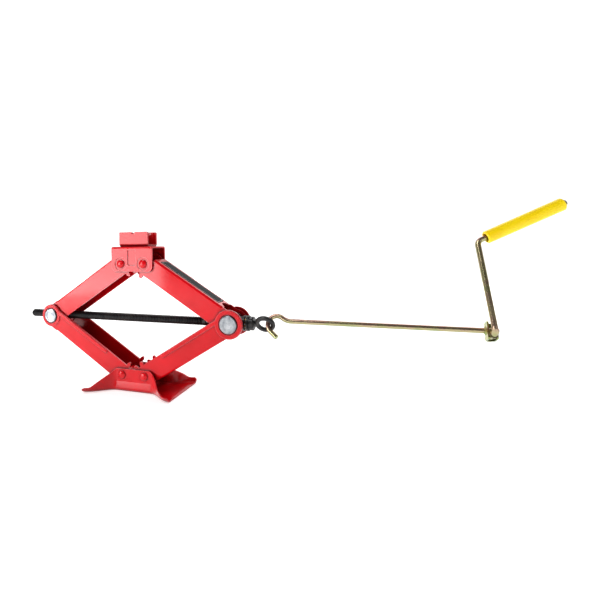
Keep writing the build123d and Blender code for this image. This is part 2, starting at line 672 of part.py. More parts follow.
# ================================================================ assembly
def main():
    os.makedirs("parts", exist_ok=True)
    save(base_plate(), "base_plate")
    save(domed_pin(-half_spacing, base_pivot_height, base_outer), "base_pin_left")
    save(domed_pin(half_spacing, base_pivot_height, base_outer), "base_pin_right")
    left_lower = lower_arm(left_ear_radius, left_head_diameter, False)
    right_lower = lower_arm(right_ear_radius, right_head_diameter, True)
    save(place_lower(left_lower, -1), "lower_left_arm")
    save(place_lower(right_lower, 1), "lower_right_arm")
    save(place_upper(upper_arm(False, running_fit), -1), "upper_left_arm")
    save(place_upper(upper_arm(True, open_fit), 1), "upper_right_arm")
    nut_bore = screw_diameter / 2 + running_fit
    neck_bore = screw_neck_diameter / 2 + running_fit
    save(trunnion(-knuckle_x, left_head_diameter, nut_bore, False), "left_trunnion_nut")
    save(trunnion(knuckle_x, right_head_diameter, neck_bore, True), "right_trunnion")
    save(top_bracket(), "top_bracket")
    save(domed_pin(-half_spacing, top_pivot_height, bracket_outer - coin_depth), "top_pin_left")
    save(domed_pin(half_spacing, top_pivot_height, bracket_outer - coin_depth), "top_pin_right")
    save(saddle_pad(), "saddle_pad")
    save(saddle_rivet(), "saddle_rivet")
    save(lead_screw(), "lead_screw")
    save(screw_eye(), "screw_eye")
    save(collar_pin(), "collar_pin")
    save(screw_ring(seat_washer_diameter, seat_x, race_x), "thrust_seat_washer")
    save(screw_ring(race_diameter, race_x, cage_x), "bearing_race_inner")
    save(screw_ring(cage_diameter, cage_x, outer_race_x), "bearing_ball_cage")
    save(screw_ring(race_diameter, outer_race_x, collar_x), "bearing_race_outer")
    save(crank_rod(), "crank_rod")
    save(crank_clip(), "crank_clip")
    save(crank_weld(), "crank_weld")
    save(crank_arm(), "crank_arm")
    save(grip(), "grip")
    save(grip_cap(), "grip_cap")


main()
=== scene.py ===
"""Dressed model of a scissor jack with its folding crank handle hooked into the screw eye.

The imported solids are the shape; this script gives them their finishes and adds the pieces that are
too fine for the solids: the screw's thread, the bearing's balls and the blank band on one arm.
Metres throughout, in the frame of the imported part.
"""
import json
import math

import bmesh
import bpy
from mathutils import Matrix, Vector


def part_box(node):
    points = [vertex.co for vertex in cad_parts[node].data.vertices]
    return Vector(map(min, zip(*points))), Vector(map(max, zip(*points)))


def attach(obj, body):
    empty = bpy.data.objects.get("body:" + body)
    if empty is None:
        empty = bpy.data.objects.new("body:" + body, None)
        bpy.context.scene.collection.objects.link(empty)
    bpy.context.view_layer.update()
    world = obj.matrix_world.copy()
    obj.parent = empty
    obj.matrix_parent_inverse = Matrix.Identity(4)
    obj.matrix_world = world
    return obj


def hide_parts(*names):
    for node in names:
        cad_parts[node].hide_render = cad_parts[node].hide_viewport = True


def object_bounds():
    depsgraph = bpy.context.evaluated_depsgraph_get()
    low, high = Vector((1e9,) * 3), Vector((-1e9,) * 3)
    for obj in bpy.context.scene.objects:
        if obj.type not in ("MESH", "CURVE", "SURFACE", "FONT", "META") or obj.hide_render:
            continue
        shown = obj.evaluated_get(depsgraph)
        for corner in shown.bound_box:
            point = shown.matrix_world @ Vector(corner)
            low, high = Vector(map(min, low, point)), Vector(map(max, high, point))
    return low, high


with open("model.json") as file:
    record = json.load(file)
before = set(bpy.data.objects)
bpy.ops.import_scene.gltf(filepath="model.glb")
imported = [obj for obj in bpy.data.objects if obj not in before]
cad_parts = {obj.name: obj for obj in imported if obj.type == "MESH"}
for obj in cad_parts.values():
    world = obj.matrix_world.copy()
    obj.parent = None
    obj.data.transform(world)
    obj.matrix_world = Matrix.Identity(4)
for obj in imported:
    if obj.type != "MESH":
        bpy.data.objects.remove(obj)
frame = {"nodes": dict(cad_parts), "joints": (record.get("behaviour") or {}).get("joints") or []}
cad_low, cad_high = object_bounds()
joints = {joint["name"]: joint for joint in frame["joints"]}


# ------------------------------------------------------------------ pressed steel: arms, foot, top
# The foot, the four arms, the top bracket and the saddle are pressed from 2.5 to 3 mm sheet and
# dipped in red gloss enamel after assembly, so the rivets carry the same paint. The film is thick
# and slightly rippled. A pale painted highlight runs along the edges, where the film also draws
# thin, and painted shade darkens the red inside the channels and where two pieces meet.
RED_DEEP = "#c60b17"
RED_BRIGHT = "#e00e1f"
# The next two colours: a pale painted highlight for the edges, where the film also draws thin, and a
# near-brown painted shade for the channels and the seams between pieces.
RED_EDGE_HIGHLIGHT = "#f8777d"
RED_PAINTED_SHADE = "#6e0610"
PAINT_CLOUD = 0.07            # slow drift of the red over a sheet
PAINT_SAG = 0.014             # ripples of a film that has run before it set
PAINT_SAG_DEPTH = 0.0006
ORANGE_PEEL = 0.0016
ORANGE_PEEL_DEPTH = 0.0002
EDGE_ROUND_AND_HIGHLIGHT = 0.0015         # reach of the rounded edge and of its painted highlight
CHANNEL_HOLLOW = 0.045        # reach of the shade inside the channels
SEAM_HOLLOW = 0.006           # reach of the shade where two pieces meet


def linear(hex_colour):
    """An sRGB hex colour as linear RGBA."""
    parts = [int(hex_colour[i:i + 2], 16) / 255 for i in (1, 3, 5)]
    return [c / 12.92 if c <= 0.04045 else ((c + 0.055) / 1.055) ** 2.4 for c in parts] + [1.0]


def add(tree, kind, inputs=None, stops=(), **settings):
    """Adds one node. A socket given as an input is linked and anything else is set; stops are a
    colour ramp's positions and hex colours."""
    made = tree.nodes.new(kind)
    for name, value in settings.items():
        setattr(made, name, value)
    for name, value in (inputs or {}).items():
        if isinstance(value, bpy.types.NodeSocket):
            tree.links.new(value, made.inputs[name])
        else:
            made.inputs[name].default_value = value
    for count, (position, colour) in enumerate(stops):
        if count >= len(made.color_ramp.elements):
            made.color_ramp.elements.new(position)
        made.color_ramp.elements[count].position = position
        made.color_ramp.elements[count].color = linear(colour)
    return made


def new_material(name):
    """An empty node material and its tree, with an output waiting for a shader."""
    material = bpy.data.materials.new(name)
    material.use_nodes = True
    material.node_tree.nodes.clear()
    return material, material.node_tree


def red_enamel():
    """Alkyd gloss enamel, dipped: a deep red under a clear wet-looking skin, with a pale painted
    highlight along every edge, where the film also draws thin, and painted shade darkening it to
    almost brown inside the channels and where two pieces meet."""
    material, tree = new_material("red_enamel")
    place = add(tree, "ShaderNodeTexCoord").outputs["Object"]
    cloud = add(tree, "ShaderNodeTexNoise", {"Vector": place, "Scale": 1 / PAINT_CLOUD,
                                             "Detail": 4.0})
    body = add(tree, "ShaderNodeValToRGB", {"Fac": cloud.outputs["Fac"]},
               stops=[(0.3, RED_DEEP), (0.7, RED_BRIGHT)])
    # Painted highlight: a pale colour is mixed in where the rounded normal leaves the true one,
    # along every edge.
    rounded = add(tree, "ShaderNodeBevel", {"Radius": EDGE_ROUND_AND_HIGHLIGHT}, samples=6)
    true_normal = add(tree, "ShaderNodeNewGeometry").outputs["Normal"]
    facing = add(tree, "ShaderNodeVectorMath", {0: rounded.outputs["Normal"], 1: true_normal},
                 operation="DOT_PRODUCT")
    edge = add(tree, "ShaderNodeMapRange", {"Value": facing.outputs["Value"], "From Min": 0.995,
                                            "From Max": 0.86, "To Min": 0.0, "To Max": 0.75})
    # Painted shade: the red is darkened towards near brown where occlusion finds a channel or a
    # seam.
    channel = add(tree, "ShaderNodeAmbientOcclusion", {"Distance": CHANNEL_HOLLOW}, samples=8)
    depth = add(tree, "ShaderNodeMapRange", {"Value": channel.outputs["AO"], "From Min": 0.75,
                                             "From Max": 0.25, "To Min": 0.0, "To Max": 0.75})
    seam = add(tree, "ShaderNodeAmbientOcclusion", {"Distance": SEAM_HOLLOW}, samples=6)
    seam_painted_shade = add(tree, "ShaderNodeMapRange", {"Value": seam.outputs["AO"], "From Min": 0.97,
                                              "From Max": 0.6, "To Min": 0.0, "To Max": 0.85})
    painted_shade_depth = add(tree, "ShaderNodeMath", {0: depth.outputs["Result"],
                                           1: seam_painted_shade.outputs["Result"]}, operation="MAXIMUM")
    shaded = add(tree, "ShaderNodeMix", {"Factor": painted_shade_depth.outputs[0], "A": body.outputs["Color"],
                                         "B": linear(RED_PAINTED_SHADE)}, data_type="RGBA")
    skin = add(tree, "ShaderNodeMix", {"Factor": edge.outputs["Result"],
                                       "A": shaded.outputs["Result"],
                                       "B": linear(RED_EDGE_HIGHLIGHT)}, data_type="RGBA")
    peel = add(tree, "ShaderNodeTexNoise", {"Vector": place, "Scale": 1 / ORANGE_PEEL,
                                            "Detail": 1.0})
    sag = add(tree, "ShaderNodeTexNoise", {"Vector": place, "Scale": 1 / PAINT_SAG,
                                           "Detail": 2.0})
    waves = add(tree, "ShaderNodeBump", {"Height": sag.outputs["Fac"], "Strength": 0.25,
                                         "Distance": PAINT_SAG_DEPTH,
                                         "Normal": rounded.outputs["Normal"]})
    grain = add(tree, "ShaderNodeBump", {"Height": peel.outputs["Fac"], "Strength": 0.18,
                                         "Distance": ORANGE_PEEL_DEPTH,
                                         "Normal": waves.outputs["Normal"]})
    rough = add(tree, "ShaderNodeMapRange", {"Value": cloud.outputs["Fac"], "To Min": 0.24,
                                             "To Max": 0.38})
    shader = add(tree, "ShaderNodeBsdfPrincipled",
                 {"Base Color": skin.outputs["Result"], "Roughness": rough.outputs["Result"],
                  "Normal": grain.outputs["Normal"], "Specular IOR Level": 0.1,
                  "Coat Weight": 0.65, "Coat Roughness": 0.1})
    add(tree, "ShaderNodeOutputMaterial", {"Surface": shader.outputs["BSDF"]})
    return material


def dress(node_names, material):
    """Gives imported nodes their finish."""
    for name in node_names:
        for slot in frame["nodes"][name].material_slots:
            slot.material = material


dress(["base_plate", "base_pin_left", "base_pin_right", "lower_left_arm", "lower_right_arm",
       "upper_left_arm", "upper_right_arm", "top_bracket", "top_pin_left", "top_pin_right",
       "saddle_pad", "saddle_rivet"], red_enamel())


# ------------------------------------------------------------------ knuckle trunnions
# Each knuckle turns on a steel cross shaft whose ends are upset over the arms and faced off in a
# lathe. They are zinc plated, bright and a little blue, with fine rings round the shaft's axis.
ZINC_LIGHT = "#b9bbbe"
ZINC_DARK = "#7c8187"
LATHE_FEED = 0.0002           # one ring for each turn of the lathe
LATHE_RING_DEPTH = 0.0001
ZINC_PATCH = 0.009


def turned_zinc(name, centre):
    """Clear-passivated zinc on a turned face: a cool grey mirror, broken into rings."""
    material, tree = new_material(name)
    place = add(tree, "ShaderNodeTexCoord").outputs["Object"]
    offset = add(tree, "ShaderNodeVectorMath", {0: place, 1: centre}, operation="SUBTRACT")
    flat = add(tree, "ShaderNodeVectorMath", {0: offset.outputs["Vector"], 1: (1.0, 0.0, 1.0)},
               operation="MULTIPLY")
    radius = add(tree, "ShaderNodeVectorMath", {0: flat.outputs["Vector"]}, operation="LENGTH")
    rings = add(tree, "ShaderNodeTexNoise", {"W": radius.outputs["Value"],
                                             "Scale": 1 / LATHE_FEED, "Detail": 2.0},
                noise_dimensions="1D")
    patch = add(tree, "ShaderNodeTexNoise", {"Vector": place, "Scale": 1 / ZINC_PATCH,
                                             "Detail": 3.0})
    colour = add(tree, "ShaderNodeValToRGB", {"Fac": patch.outputs["Fac"]},
                 stops=[(0.32, ZINC_DARK), (0.68, ZINC_LIGHT)])
    rough = add(tree, "ShaderNodeMapRange", {"Value": rings.outputs["Fac"], "To Min": 0.2,
                                             "To Max": 0.42})
    bump = add(tree, "ShaderNodeBump", {"Height": rings.outputs["Fac"], "Strength": 0.3,
                                        "Distance": LATHE_RING_DEPTH})
    shader = add(tree, "ShaderNodeBsdfPrincipled",
                 {"Base Color": colour.outputs["Color"], "Metallic": 1.0,
                  "Roughness": rough.outputs["Result"], "Normal": bump.outputs["Normal"]})
    add(tree, "ShaderNodeOutputMaterial", {"Surface": shader.outputs["BSDF"]})
    return material


for trunnion in ("left_trunnion_nut", "right_trunnion"):
    low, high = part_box(trunnion)
    dress([trunnion], turned_zinc("zinc_" + trunnion, (low + high) / 2))


# ------------------------------------------------------------------ lifting screw
# A rolled thread of 3 mm pitch on a 14 mm bar, blackened in a hot phosphate bath and oiled. The
# thread is a ridge swept along a helix over a plain core. Past the thread the bar is turned down
# to a bare steel neck that runs through the right knuckle.
THREAD_PITCH = 0.003
THREAD_RIDGE = 0.0014
THREAD_STEPS = 28             # around each turn of the helix
THREAD_CHAMFER = 0.0018       # length of the tapered lead at the far end
THREAD_CHAMFER_DEPTH = 0.0012
SCREW_SKIN = 0.0001           # the end piece stands this proud of the thread's core
NECK_RADIUS = 0.005
NECK_CHAMFER = 0.0006
NECK_ROOT = 0.001             # length of the neck that is sunk in the shoulder
SHOULDER_LENGTH = 0.0065
SHOULDER_FROM_KNUCKLE = 0.045
SHOULDER_BEVEL = (0.0005, 0.0004)    # length and depth of its bevel towards the thread
SHOULDER_CHAMFER = 0.0012            # the same each way, towards the neck
BLACK = "#2a2a2d"
BLACK_WORN = "#494744"
STEEL = "#8f9094"
OIL_PATCH = 0.011
PHOSPHATE_GRAIN = 0.0004      # real crystals are a fiftieth of this, too fine to show
PHOSPHATE_DEPTH = 0.0001
TOOL_MARK = 0.0004            # width of the lathe's marks along the bar
TOOL_MARK_RUN = 0.125         # and their length round it


def black_phosphate(name, rounding=None):
    """Manganese phosphate, oiled: a soft black with a dull sheen, brownish where it is rubbed."""
    material, tree = new_material(name)
    place = add(tree, "ShaderNodeTexCoord").outputs["Object"]
    cloud = add(tree, "ShaderNodeTexNoise", {"Vector": place, "Scale": 1 / OIL_PATCH,
                                             "Detail": 5.0})
    crystals = add(tree, "ShaderNodeTexNoise", {"Vector": place, "Scale": 1 / PHOSPHATE_GRAIN,
                                                "Detail": 2.0})
    colour = add(tree, "ShaderNodeValToRGB", {"Fac": cloud.outputs["Fac"]},
                 stops=[(0.42, BLACK), (0.78, BLACK_WORN)])
    rough = add(tree, "ShaderNodeMapRange", {"Value": cloud.outputs["Fac"], "To Min": 0.3,
                                             "To Max": 0.5})
    bump = add(tree, "ShaderNodeBump", {"Height": crystals.outputs["Fac"], "Strength": 0.25,
                                        "Distance": PHOSPHATE_DEPTH})
    if rounding:
        soft = add(tree, "ShaderNodeBevel", {"Radius": rounding}, samples=6)
        tree.links.new(soft.outputs["Normal"], bump.inputs["Normal"])
    shader = add(tree, "ShaderNodeBsdfPrincipled",
                 {"Base Color": colour.outputs["Color"], "Metallic": 0.35,
                  "Roughness": rough.outputs["Result"], "Normal": bump.outputs["Normal"],
                  "Coat Weight": 0.15, "Coat Roughness": 0.3})
    add(tree, "ShaderNodeOutputMaterial", {"Surface": shader.outputs["BSDF"]})
    return material


def bare_steel():
    """Turned mild steel: bright and neutral, with fine marks round the bar."""
    material, tree = new_material("bare_steel")
    place = add(tree, "ShaderNodeTexCoord").outputs["Object"]
    lathe = add(tree, "ShaderNodeMapping",
                {"Vector": place, "Scale": (1 / TOOL_MARK, 1 / TOOL_MARK_RUN, 1 / TOOL_MARK_RUN)})
    lines = add(tree, "ShaderNodeTexNoise", {"Vector": lathe.outputs["Vector"], "Scale": 1.0})
    rough = add(tree, "ShaderNodeMapRange", {"Value": lines.outputs["Fac"], "To Min": 0.2,
                                             "To Max": 0.4})
    shader = add(tree, "ShaderNodeBsdfPrincipled",
                 {"Base Color": linear(STEEL), "Metallic": 1.0,
                  "Roughness": rough.outputs["Result"]})
    add(tree, "ShaderNodeOutputMaterial", {"Surface": shader.outputs["BSDF"]})
    return material


def geometry_tree(name, inputs):
    """An empty geometry tree with named inputs; returns it with its group input and output."""
    tree = bpy.data.node_groups.new(name, "GeometryNodeTree")
    tree.interface.new_socket("Geometry", in_out="OUTPUT", socket_type="NodeSocketGeometry")
    for label, kind in inputs.items():
        tree.interface.new_socket(label, in_out="INPUT", socket_type="NodeSocket" + kind)
    return tree, add(tree, "NodeGroupInput").outputs


def thread_tree():
    """A ridge swept along a helix about Z, round a plain core."""
    tree, given = geometry_tree("thread", {"Length": "Float", "Pitch": "Float", "Core": "Float",
                                           "Ridge": "Float", "Steps": "Int", "Finish": "Material"})
    turns = add(tree, "ShaderNodeMath", {0: given["Length"], 1: given["Pitch"]},
                operation="DIVIDE")
    helix = add(tree, "GeometryNodeCurveSpiral",
                {"Resolution": given["Steps"], "Rotations": turns.outputs[0],
                 "Start Radius": given["Core"], "End Radius": given["Core"],
                 "Height": given["Length"], "Reverse": True})
    upright = add(tree, "GeometryNodeSetCurveNormal", {"Curve": helix.outputs[0]}, mode="Z_UP")
    diamond = add(tree, "GeometryNodeCurvePrimitiveCircle", {"Resolution": 4,
                                                             "Radius": given["Ridge"]})
    ridge = add(tree, "GeometryNodeCurveToMesh", {"Curve": upright.outputs[0],
                                                  "Profile Curve": diamond.outputs[0],
                                                  "Fill Caps": True})
    core = add(tree, "GeometryNodeMeshCylinder", {"Vertices": 48, "Radius": given["Core"],
                                                  "Depth": given["Length"]})
    half = add(tree, "ShaderNodeMath", {0: given["Length"], 1: 0.5}, operation="MULTIPLY")
    lift = add(tree, "ShaderNodeCombineXYZ", {"Z": half.outputs[0]})
    raised = add(tree, "GeometryNodeTransform", {"Geometry": core.outputs["Mesh"],
                                                 "Translation": lift.outputs[0]})
    joined = add(tree, "GeometryNodeJoinGeometry", {"Geometry": ridge.outputs[0]})
    tree.links.new(raised.outputs[0], joined.inputs[0])
    solid = add(tree, "GeometryNodeRealizeInstances", {"Geometry": joined.outputs[0]})
    painted = add(tree, "GeometryNodeSetMaterial", {"Geometry": solid.outputs[0],
                                                    "Material": given["Finish"]})
    add(tree, "NodeGroupOutput", {"Geometry": painted.outputs[0]})
    return tree


def grow(name, tree, values, move, sharp_angle=32.0):
    """Runs a geometry tree, keeps its mesh as a plain object and moves the mesh into place."""
    seed = bpy.data.objects.new(name + "_seed", bpy.data.meshes.new(name + "_seed"))
    bpy.context.collection.objects.link(seed)
    modifier = seed.modifiers.new("grow", "NODES")
    modifier.node_group = tree
    for item in tree.interface.items_tree:
        if item.in_out == "INPUT":
            modifier[item.identifier] = values[item.name]
    seen = seed.evaluated_get(bpy.context.evaluated_depsgraph_get())
    mesh = bpy.data.meshes.new_from_object(seen)
    bpy.data.objects.remove(seed)
    mesh.transform(move)
    return finished(name, mesh, sharp_angle)


def finished(name, mesh, sharp_angle=32.0):
    """Links a mesh as a piece, smooth but for edges sharper than the angle."""
    form = bmesh.new()
    form.from_mesh(mesh)
    bmesh.ops.recalc_face_normals(form, faces=form.faces)
    for face in form.faces:
        face.smooth = True
    for edge in form.edges:
        if len(edge.link_faces) == 2:
            edge.smooth = edge.calc_face_angle() < math.radians(sharp_angle)
    form.to_mesh(mesh)
    form.free()
    mesh.name = name
    piece = bpy.data.objects.new(name, mesh)
    bpy.context.collection.objects.link(piece)
    return piece


def turned(name, outline, material, centre, steps=56):
    """A piece turned about an axis along X; outline is a list of (x, radius)."""
    form = bmesh.new()
    rows = []
    for x, radius in outline:
        row = []
        for step in range(steps):
            angle = 2 * math.pi * step / steps
            row.append(form.verts.new((x, centre.y + radius * math.cos(angle),
                                       centre.z + radius * math.sin(angle))))
        rows.append(row)
    for first, second in zip(rows, rows[1:]):
        for step in range(steps):
            after = (step + 1) % steps
            form.faces.new((first[step], first[after], second[after], second[step]))
    form.faces.new(rows[0])
    form.faces.new(rows[-1])
    mesh = bpy.data.meshes.new(name)
    form.to_mesh(mesh)
    form.free()
    mesh.materials.append(material)
    return finished(name, mesh)


black = black_phosphate("black_phosphate")
steel = bare_steel()
screw_low, screw_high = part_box("lead_screw")
screw_middle = (screw_low + screw_high) / 2
screw_radius = (screw_high.z - screw_low.z) / 2
right_low, right_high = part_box("right_trunnion")
shoulder_x = (right_low.x + right_high.x) / 2 - SHOULDER_FROM_KNUCKLE
core_radius = screw_radius - THREAD_RIDGE
thread_length = shoulder_x - screw_low.x - 2 * THREAD_CHAMFER

along_x = Matrix.Rotation(math.radians(90), 4, "Y")
start = Matrix.Translation((screw_low.x + THREAD_CHAMFER, screw_middle.y, screw_middle.z))
thread = grow("screw_thread", thread_tree(),
              {"Length": thread_length, "Pitch": THREAD_PITCH, "Core": core_radius,
               "Ridge": THREAD_RIDGE, "Steps": THREAD_STEPS, "Finish": black},
              start @ along_x, sharp_angle=40.0)
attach(thread, "screw")
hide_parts("lead_screw")

ends = turned("screw_ends",
              [(screw_low.x, core_radius - THREAD_CHAMFER_DEPTH),
               (screw_low.x + THREAD_CHAMFER, core_radius + SCREW_SKIN),
               (screw_low.x + 3 * THREAD_CHAMFER, core_radius + SCREW_SKIN)],
              black, screw_middle)
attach(ends, "screw")

bevel_length, bevel_depth = SHOULDER_BEVEL
shoulder = turned("screw_shoulder",
                  [(shoulder_x - SHOULDER_LENGTH, screw_radius - bevel_depth),
                   (shoulder_x - SHOULDER_LENGTH + bevel_length, screw_radius),
                   (shoulder_x - SHOULDER_CHAMFER, screw_radius),
                   (shoulder_x, screw_radius - SHOULDER_CHAMFER)], black, screw_middle)
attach(shoulder, "screw")

neck = turned("screw_neck",
              [(shoulder_x - NECK_ROOT, NECK_RADIUS), (screw_high.x - NECK_CHAMFER, NECK_RADIUS),
               (screw_high.x, NECK_RADIUS - NECK_CHAMFER)], steel, screw_middle)
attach(neck, "screw")


# ------------------------------------------------------------------ screw eye and thrust bearing
# The forged eye is pinned on the neck, its edges rounded by the tumbling that cleans off the
# scale. Between it and the knuckle run a thick washer and a thrust bearing: two hardened races
# and a thin brass-coloured cage that spaces small steel balls.
FORGING_ROUND = 0.0016        # radius of the eye's tumbled edges
BALL_COUNT = 12
BALL_RADIUS = 0.00165
BALL_CIRCLE = 0.0093
CAGE_RADIUS = 0.0102
CAGE_CLEARANCE = 0.0006       # from the neck
CAGE_HALF_THICKNESS = 0.0006
CAGE_COLOUR = "#8d7442"
CAGE_TARNISH = 0.0025


def ball_tree():
    """Balls spaced evenly round a circle about Z."""
    tree, given = geometry_tree("bearing_balls", {"Count": "Int", "Circle": "Float",
                                                  "Ball": "Float", "Finish": "Material"})
    circle = add(tree, "GeometryNodeMeshCircle", {"Vertices": given["Count"],
                                                  "Radius": given["Circle"]})
    ball = add(tree, "GeometryNodeMeshUVSphere", {"Segments": 20, "Rings": 12,
                                                  "Radius": given["Ball"]})
    placed = add(tree, "GeometryNodeInstanceOnPoints", {"Points": circle.outputs["Mesh"],
                                                        "Instance": ball.outputs["Mesh"]})
    solid = add(tree, "GeometryNodeRealizeInstances", {"Geometry": placed.outputs[0]})
    painted = add(tree, "GeometryNodeSetMaterial", {"Geometry": solid.outputs[0],
                                                    "Material": given["Finish"]})
    add(tree, "NodeGroupOutput", {"Geometry": painted.outputs[0]})
    return tree


def cage_brass():
    """Pressed brass, a little tarnished: warm and half dull."""
    material, tree = new_material("cage_brass")
    place = add(tree, "ShaderNodeTexCoord").outputs["Object"]
    cloud = add(tree, "ShaderNodeTexNoise", {"Vector": place, "Scale": 1 / CAGE_TARNISH,
                                             "Detail": 3.0})
    rough = add(tree, "ShaderNodeMapRange", {"Value": cloud.outputs["Fac"], "To Min": 0.28,
                                             "To Max": 0.5})
    shader = add(tree, "ShaderNodeBsdfPrincipled",
                 {"Base Color": linear(CAGE_COLOUR), "Metallic": 1.0,
                  "Roughness": rough.outputs["Result"]})
    add(tree, "ShaderNodeOutputMaterial", {"Surface": shader.outputs["BSDF"]})
    return material


dress(["screw_eye"], black_phosphate("black_forging", FORGING_ROUND))
dress(["thrust_seat_washer", "bearing_race_inner", "bearing_race_outer"], black)
dress(["collar_pin"], steel)
cage_low, cage_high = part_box("bearing_ball_cage")
cage_middle = (cage_low + cage_high) / 2
balls = grow("bearing_balls", ball_tree(),
             {"Count": BALL_COUNT, "Circle": BALL_CIRCLE, "Ball": BALL_RADIUS, "Finish": steel},
             Matrix.Translation(cage_middle) @ along_x, sharp_angle=60.0)
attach(balls, "right_knuckle")
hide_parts("bearing_ball_cage")

cage = turned("bearing_cage",
              [(cage_middle.x - CAGE_HALF_THICKNESS, NECK_RADIUS + CAGE_CLEARANCE),
               (cage_middle.x - CAGE_HALF_THICKNESS, CAGE_RADIUS),
               (cage_middle.x + CAGE_HALF_THICKNESS, CAGE_RADIUS),
               (cage_middle.x + CAGE_HALF_THICKNESS, NECK_RADIUS + CAGE_CLEARANCE)],
              cage_brass(), cage_middle)
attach(cage, "right_knuckle")


# ------------------------------------------------------------------ blank band on one arm
# A printed strip is stuck along the web of the upper right arm. It is left without any wording: a
# black vinyl band with a dark grey field and a thin pale line round it.
BAND_LENGTH = 0.124
BAND_WIDTH = 0.024
BAND_THICKNESS = 0.00018
BAND_CORNER = 0.003
CORNER_STEPS = 6
BAND_ALONG = 0.467            # place of its middle, as a share of the arm's length
LINE_INSET = 0.002            # from the band's edge to the line, and to the field inside it
FIELD_INSET = 0.0027
BAND_BLACK = "#151517"
LINE_PALE = "#d9d9d6"
FIELD_GREY = "#242528"
VINYL_ROUGHNESS = 0.6
VINYL_GRAIN = 0.0011
VINYL_GRAIN_DEPTH = 0.0001
ARM_HALF_HEIGHT = 0.0175      # from the arm's pivots to the outside of its web


def vinyl(name, colour):
    """Calendered vinyl film: flat colour with a low, slightly grained sheen."""
    material, tree = new_material(name)
    place = add(tree, "ShaderNodeTexCoord").outputs["Object"]
    film = add(tree, "ShaderNodeTexNoise", {"Vector": place, "Scale": 1 / VINYL_GRAIN,
                                            "Detail": 2.0})
    bump = add(tree, "ShaderNodeBump", {"Height": film.outputs["Fac"], "Strength": 0.12,
                                        "Distance": VINYL_GRAIN_DEPTH})
    shader = add(tree, "ShaderNodeBsdfPrincipled",
                 {"Base Color": linear(colour), "Roughness": VINYL_ROUGHNESS,
                  "Normal": bump.outputs["Normal"], "Specular IOR Level": 0.2})
    add(tree, "ShaderNodeOutputMaterial", {"Surface": shader.outputs["BSDF"]})
    return material


def rounded_plate(name, length, width, corner, lift, place, material):
    """A thin plate with rounded corners, lying on the X-Y plane of a place."""
    form = bmesh.new()
    rim = []
    for quarter, (sx, sy) in enumerate(((1, 1), (-1, 1), (-1, -1), (1, -1))):
        for step in range(CORNER_STEPS + 1):
            angle = math.radians(90 * quarter + 90 / CORNER_STEPS * step)
            rim.append(form.verts.new((sx * (length / 2 - corner) + corner * math.cos(angle),
                                       sy * (width / 2 - corner) + corner * math.sin(angle),
                                       lift)))
    face = form.faces.new(rim)
    grown = bmesh.ops.extrude_face_region(form, geom=[face])
    lifted = [item for item in grown["geom"] if isinstance(item, bmesh.types.BMVert)]
    bmesh.ops.translate(form, verts=lifted, vec=(0, 0, BAND_THICKNESS))
    mesh = bpy.data.meshes.new(name)
    form.to_mesh(mesh)
    form.free()
    mesh.materials.append(material)
    mesh.transform(place)
    return finished(name, mesh)


top_pivot = Vector(joints["top_right_pivot"]["pos_m"])
knuckle = Vector(joints["right_knuckle_trunnion"]["pos_m"])
down_arm = (knuckle - top_pivot).normalized()
across = Vector((0, 1, 0))
outward = down_arm.cross(across)
web_point = top_pivot.lerp(knuckle, BAND_ALONG) + outward * ARM_HALF_HEIGHT
on_web = Matrix.Translation(web_point) @ Matrix((down_arm, across, outward)).transposed().to_4x4()
layers = [("band_black", 0.0, BAND_BLACK), ("band_line", LINE_INSET, LINE_PALE),
          ("band_field", FIELD_INSET, FIELD_GREY)]
for level, (name, inset, colour) in enumerate(layers):
    layer = rounded_plate(name, BAND_LENGTH - 2 * inset, BAND_WIDTH - 2 * inset, BAND_CORNER,
                          level * BAND_THICKNESS, on_web, vinyl(name, colour))
    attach(layer, "upper_right")


# ------------------------------------------------------------------ crank rod, clip and arm
# The crank is cold-drawn wire bent to shape, with a folded clip welded to the rod. All of it is
# zinc plated and passivated yellow, which leaves an oily shimmer: straw, olive and pink on the
# wire, greener on the clip. The arm's tail was cropped after plating, so its end is bare and white.
WIRE_SHIMMER = [(0.2, "#939f73"), (0.38, "#a8a57c"), (0.5, "#b7ab88"), (0.62, "#b19c86"),
                (0.78, "#b38d83"), (0.9, "#a1997a")]
CLIP_SHIMMER = [(0.25, "#748a58"), (0.42, "#929f68"), (0.56, "#b5b273"), (0.68, "#a58f6c"),
                (0.82, "#ad8079")]
BARE_ZINC = "#e4e4de"
RUBBED_LIGHT = "#cfccbd"
RUBBED_DARK = "#a9a698"
TAIL_BARE = 0.006             # length of the bare end, and of the fade behind it
TAIL_FADE = 0.001
FILM_PATCH = 0.024
TOP_TO_UNDERSIDE_PAINTED_LIGHT = 0.22              # painted light: how far the hue drifts from the wire's top to its underside
DRAWING_MARK = 0.0007
DRAWING_MARK_DEPTH = 0.0001
RUBBED_PATCH = 0.004


